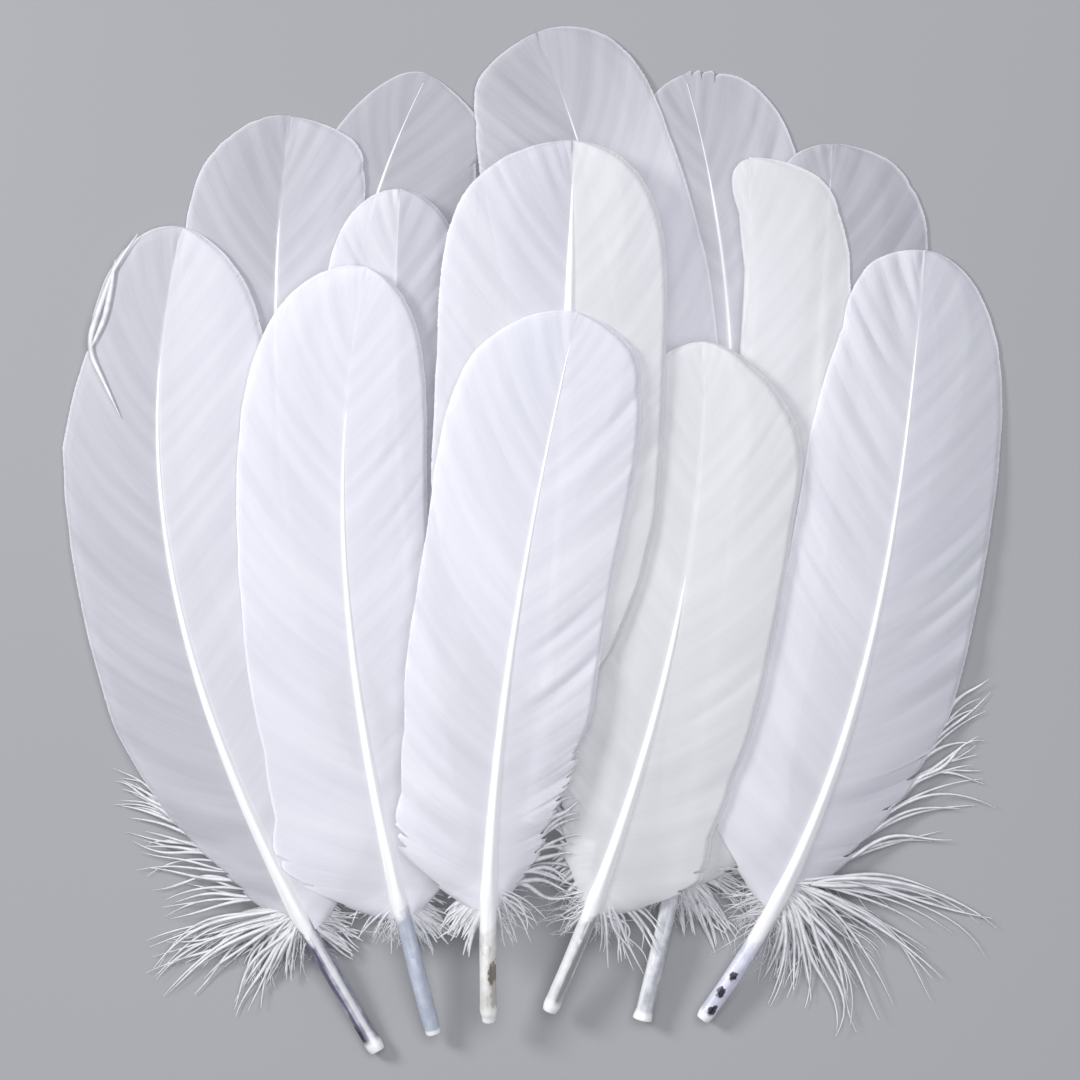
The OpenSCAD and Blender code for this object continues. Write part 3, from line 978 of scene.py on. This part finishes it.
VANES = {
    "back_1_left_vane": {"edge": ((0.6, 1), (0.8, 0.95), (0.9, 0.97), (0.97, 0.9)), "fold": 0.3},
    "back_1_right_vane": {"edge": ((0.7, 1), (0.85, 1.1), (0.92, 1.28), (0.98, 1.7)), "fold": 0.4},
    "back_2_left_vane": {"edge": ((0.6, 1), (0.8, 0.9), (0.9, 0.83), (0.96, 0.78))},
    "back_2_right_vane": {"edge": ((0.6, 1.2), (0.9, 1.12), (0.98, 1.6))},
    "back_3_left_vane": {"edge": ((0.9, 1), (0.94, 1.1), (0.99, 1.35)), "fold": 0.6},
    "back_3_right_vane": {"edge": ((0.6, 1), (0.8, 0.93), (0.95, 1))},
    "back_4_left_vane": {"fold": 0.6},
    "back_4_right_vane": {
        "fold": 0.5,
        "splits": ((0.88, 0.86, 0.4), (0.915, 0.88, 0.5), (0.95, 0.88, 0.5)),
    },
    "back_5_left_vane": {"edge": ((0.9, 1), (0.98, 1.4)), "fold": 0.4},
    "back_5_right_vane": {"edge": ((0.6, 1), (0.8, 0.9), (0.93, 1.03), (0.98, 1.2)), "fold": 0.4},
    "middle_1_left_vane": {"fold": 0.6},
    "middle_1_right_vane": {"fold": 0.45, "curl": 0.9},
    "middle_2_left_vane": {"fold": (0.2, 0.2, 0.3, 0.6, 0.6)},
    "middle_2_right_vane": {"fold": 0.15, "curl": 0.9},
    "front_1_left_vane": {
        "edge": ((0.7, 1), (0.83, 0.82), (0.96, 0.94), (1, 1)),
        "fold": (0.6, 0.6, 0.3, 0.15, 0.2),
        "loose": 0.12,
        "splits": ((0.7, 0.72, 0.35),),
    },
    "front_1_right_vane": {"edge": FULL_FOOT, "fold": 0.15, "curl": 0.9},
    "front_2_left_vane": {"edge": FULL_FOOT, "fold": 0.15},
    "front_2_right_vane": {"edge": FULL_FOOT, "fold": (0.4, 0.2, 0.15), "curl": 1.2},
    "front_3_left_vane": {
        "edge": (*FULL_FOOT, (0.6, 1), (0.78, 1.07), (0.9, 1.12), (0.96, 1.05)),
        "fold": (0.6, 0.6, 0.25, 0.15),
    },
    "front_3_right_vane": {
        "edge": ((0.6, 1), (0.8, 1.05), (0.9, 1.1), (0.96, 1.3)),
        "fold": (0.6, 0.4, 0.15),
        **FINE_LOCKS,
        "droop": (1.5, 1.5, 1.0),
        "curl": 1.2,
    },
    "front_4_left_vane": {"fold": (0.4, 0.2, 0.15), **FINE_LOCKS},
    "front_4_right_vane": {
        "edge": (*FULL_FOOT, (0.6, 1), (0.7, 1.02), (0.8, 1.1), (0.86, 1.1), (0.94, 0.95), (0.96, 0.85)),
        "fold": 0.12,
        "curl": 1.2,
    },
    "front_5_left_vane": {
        "edge": ((0.55, 1), (0.7, 0.18), (0.84, 0.14), (0.92, 0.4), (0.98, 1.1)),
        "fold": 0.15,
    },
    "front_5_right_vane": {
        "edge": (*FULL_FOOT, (0.7, 1), (0.83, 1.1), (0.92, 1.18), (0.97, 1.4)),
        "fold": 0.12,
    },
    "front_6_left_vane": {
        "edge": (*FULL_FOOT, (0.7, 1), (0.87, 0.93), (0.95, 1.15), (0.99, 1.4)),
        "fold": (0.15, 0.2, 0.6, 1.0, 0.6),
    },
    "front_6_right_vane": {
        "fold": (0.6, 0.5, 0.2, 0.12),
        "loose": 0.2,
        "lock": 0.03,
        "lock_depth": (0.75, 0.92),
        "lock_jitter": 0.03,
    },
}

# Barbs that have come loose, as (share of the quill's length, mm out from the shaft)
STRAYS = {
    "front_1_left_vane": [
        ((0.98, 9), (0.94, 12.6), (0.9, 14.3), (0.87, 15.6), (0.85, 15), (0.82, 11.5), (0.785, 8)),
        ((0.95, 12.6), (0.92, 12.4), (0.89, 12.8), (0.87, 14.2), (0.855, 15.4)),
    ],
}

# Groups of strands. They start at shares "along" the quill, "out" mm from the shaft or under the
# web's "rim", gathered in "locks". "angle" is from straight out towards the barrel's open end, give
# or take a "mess", and "curve" is how far they turn. "width" is half of theirs, "rise" is how far
# they arch up, and "short" is the shortest one's share of "length".
TUFT = {
    "count": 60, "along": (0.2, 0.15), "angle": (-10, 60), "length": (9, 10, 7), "curve": 15,
    "width": 0.13, "mess": 14, "wobble": 0.5, "barbules": 10, "rise": (0, 0.5), "short": 0.4,
}
FLUFF = {
    **TUFT, "count": 130, "angle": (-25, 60), "length": (11, 14, 12, 8), "curve": 20, "mess": 18,
    "wobble": 0.7, "barbules": 14, "rise": (0, 1.5),
}
FLAP = {
    "count": 26, "locks": 5, "along": (0.195, 0.16), "out": 1.0, "angle": (25, 65), "length": (9, 13, 10),
    "curve": 12, "width": 0.7, "mess": 3, "wobble": 0.15, "rise": (0, 0.4),
}
WHISKERS = {
    "count": 12, "locks": 7, "along": (0.2, 0.165), "out": 1.2, "angle": (0, 60), "length": (14, 12, 9),
    "curve": 20, "width": 0.34, "mess": 5, "wobble": 0.35, "rise": (0, 1),
}
PLUME = {
    "locks": 13, "out": 1.5, "curve": 20, "width": 0.46, "mess": 3, "wobble": 0.18, "rise": (0, 1.5),
}
EDGE_BARBS = {
    "count": 30, "locks": 18, "along": (0.36, 0.28, 0.19), "rim": True, "angle": (-65, -45, 0),
    "length": (8, 11, 13), "curve": 45, "width": 0.5, "mess": 4, "wobble": 0.2, "rise": (0, 0.8),
}
BROAD_BARBS = {
    "count": 10, "locks": 10, "along": (0.28, 0.19), "out": (5, 2), "angle": (5, 35),
    "length": (11, 9), "curve": 45, "width": 0.9, "mess": 2, "wobble": 0.1, "rise": (0.2, 0.8),
}
DOWN = {
    "front_1": {
        -1: [
            {
                **PLUME, "count": 34, "along": (0.195, 0.165), "angle": (-28, -4, 38),
                "length": (27, 31, 28, 14),
            },
            {
                **PLUME, "count": 40, "along": (0.195, 0.165), "angle": (-30, 50), "length": (17, 19, 11),
                "mess": 7,
            },
            {
                **PLUME, "count": 30, "along": (0.36, 0.29, 0.21), "rim": True, "angle": (-72, -40, -30),
                "length": (13, 15, 22), "curve": 16, "width": 0.4, "locks": 12,
            },
            {**TUFT, "count": 40, "length": (12, 14, 9)},
        ],
        1: [FLAP, {**WHISKERS, "angle": (0, 45)}, TUFT],
    },
    "front_2": {-1: [TUFT, {**WHISKERS, "count": 6}], 1: [FLAP, TUFT]},
    "front_3": {
        -1: [{**TUFT, "count": 30}, FLAP],
        1: [
            {**WHISKERS, "angle": (20, 60)},
            {**EDGE_BARBS, "count": 14, "locks": 7, "along": (0.29, 0.19)},
            TUFT,
        ],
    },
    "front_4": {
        -1: [BROAD_BARBS, {**EDGE_BARBS, "count": 16, "locks": 8}, {**FLUFF, "count": 70}],
        1: [{**WHISKERS, "count": 18, "angle": (5, 60), "length": (19, 17, 12), "width": 0.42}, TUFT],
    },
    "front_5": {
        -1: [FLUFF, {**WHISKERS, "count": 8}],
        1: [{**FLAP, "count": 40, "locks": 9, "angle": (0, 60), "length": (15, 18, 14)}, FLUFF],
    },
    "front_6": {
        -1: [FLUFF, {**WHISKERS, "count": 8}],
        1: [
            {
                **PLUME, "count": 36, "locks": 19, "along": (0.205, 0.2, 0.185, 0.165), "out": (5, 3, 2, 1),
                "angle": (-38, -24, -4, 24, 52), "length": (39, 38, 35, 30, 19), "curve": 36, "rise": (0, 2),
            },
            {
                **PLUME, "count": 60, "locks": 20, "along": (0.2, 0.165), "angle": (-32, 5, 55),
                "length": (22, 24, 16), "curve": 28, "mess": 6, "width": 0.38,
            },
            {**FLUFF, "angle": (10, 80), "length": (15, 17, 15)},
            {
                **PLUME, "count": 20, "locks": 10, "along": (0.23, 0.3, 0.36, 0.45), "rim": True,
                "angle": (-55, -58, -66, -78), "length": (26, 24, 18, 14), "curve": 32, "width": 0.5,
                "mess": 2, "rise": (0, 1.2),
            },
        ],
    },
}

CREAM, DARK = (0.86, 0.85, 0.82), (0.02, 0.015, 0.03)
WHITE, BROWN = (0.95, 0.95, 0.95), (0.22, 0.19, 0.15)
HORN = {
    "barrel": [(0.38, (0.5, 0.5, 0.52)), (0.5, (0.68, 0.69, 0.73)), (0.62, (0.86, 0.86, 0.89))],
    "streaks_and_highlights": [],
    "stains": [],
    "rim": 1.2,  # mm of white at the open end
    "pith_from": 27,  # mm from the open end to the solid white shaft
    "wedge": 2,  # how much further that is at the sides
    "clear": 0.25,
    "lip": (1, 1, 1),  # share of the barrel's radius, at each mm from the open end
}
HORNS = {
    "front_1": {
        "barrel": [(0.36, (0.14, 0.14, 0.2)), (0.5, (0.38, 0.38, 0.46)), (0.64, (0.74, 0.74, 0.82))],
        # the white line is a painted highlight along the barrel, with a dark line beside it
        "streaks_and_highlights": [(0.2, 0.08, WHITE), (0.36, 0.07, (0.08, 0.07, 0.14))],
        "stains": [(5, 2, 0.42, 0.06, DARK)],
        "rim": 3,
        "lip": (0.9, 1.05, 1.08, 1.02, 1),
        "pith_from": 25,
        "wedge": 8,
    },
    "front_2": {
        "barrel": [(0.38, (0.5, 0.54, 0.62)), (0.5, (0.56, 0.6, 0.69)), (0.66, (0.7, 0.73, 0.8))],
        "pith_from": 25,
        "lip": (0.9, 0.94, 0.97, 1),
    },
    "front_3": {
        "barrel": [(0.36, (0.62, 0.6, 0.56)), (0.5, CREAM), (0.62, WHITE)],
        "stains": [
            (10.5, 3, 0.13, 0.12, BROWN),
            (6, 3, 0.1, 0.1, (0.55, 0.53, 0.5)),
            (1.0, 0.8, 0.25, 0.15, BROWN),
        ],
        "rim": 3.4,
        "lip": (0.8, 0.84, 1.03, 1.05, 1),
        "pith_from": 18,
    },
    "front_4": {
        # the white line is a painted highlight along the barrel, with a darker line beside it
        "streaks_and_highlights": [(0.4, 0.16, WHITE), (0.17, 0.08, (0.3, 0.28, 0.26))],
        "rim": 3,
        "pith_from": 20,
        "lip": (0.86, 1, 1.02, 1),
    },
    "front_5": {
        # the white line is a painted highlight along the barrel
        "streaks_and_highlights": [(0.4, 0.08, WHITE)],
        "rim": 2.2,
        "pith_from": 28,
        "lip": (1.22, 1.12, 1.03, 1),
    },
    "front_6": {
        "barrel": [(0.36, (0.6, 0.6, 0.72)), (0.5, (0.78, 0.78, 0.88)), (0.64, (0.93, 0.93, 0.97))],
        "stains": [(11, 1.1, 0.25, 0.08, DARK), (6.8, 1.2, 0.28, 0.09, DARK), (2.6, 1.3, 0.2, 0.08, DARK)],
        "rim": 2,
        "lip": (0.84, 1, 1.05, 1),
        "pith_from": 17,
    },
}


def build_quill(frame, name, pile, seed, fluff):
    """All pieces of one quill, laid on the pile."""
    quill = Quill(frame, name, pile, seed)
    horn = {**HORN, **HORNS.get(name, {})}
    made = []
    for part, looks in zip(SIDES, WEBS[name]):
        node = f"{name}_{part}"
        web = vane_material(f"{node}_barbs", *looks)
        made.append(vane(quill, part, web, {**VANE, **VANES[node]}))
    made.append(shaft(quill, horn_material(f"{name}_horn", horn), horn["lip"]))
    down(quill, fluff, DOWN.get(name, {-1: [TUFT], 1: [TUFT]}))
    for points in made:
        pile.add(points)
    pile.smooth_over()
    for part in SIDES:
        for places in STRAYS.get(f"{name}_{part}", ()):
            stray(quill, part, fluff, places)


def main():
    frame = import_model()
    cad_low, cad_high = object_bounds()
    pile = Pile(cad_low, cad_high)
    fluff = down_material("fluff", FLUFF_WHITE)
    for i, name in enumerate(frame["record"]["behaviour"]["bodies"]):
        build_quill(frame, name, pile, FIRST_SEED + i, fluff)
    lay_floor()
    hang_lights()
    set_camera(cad_low, cad_high)


main()
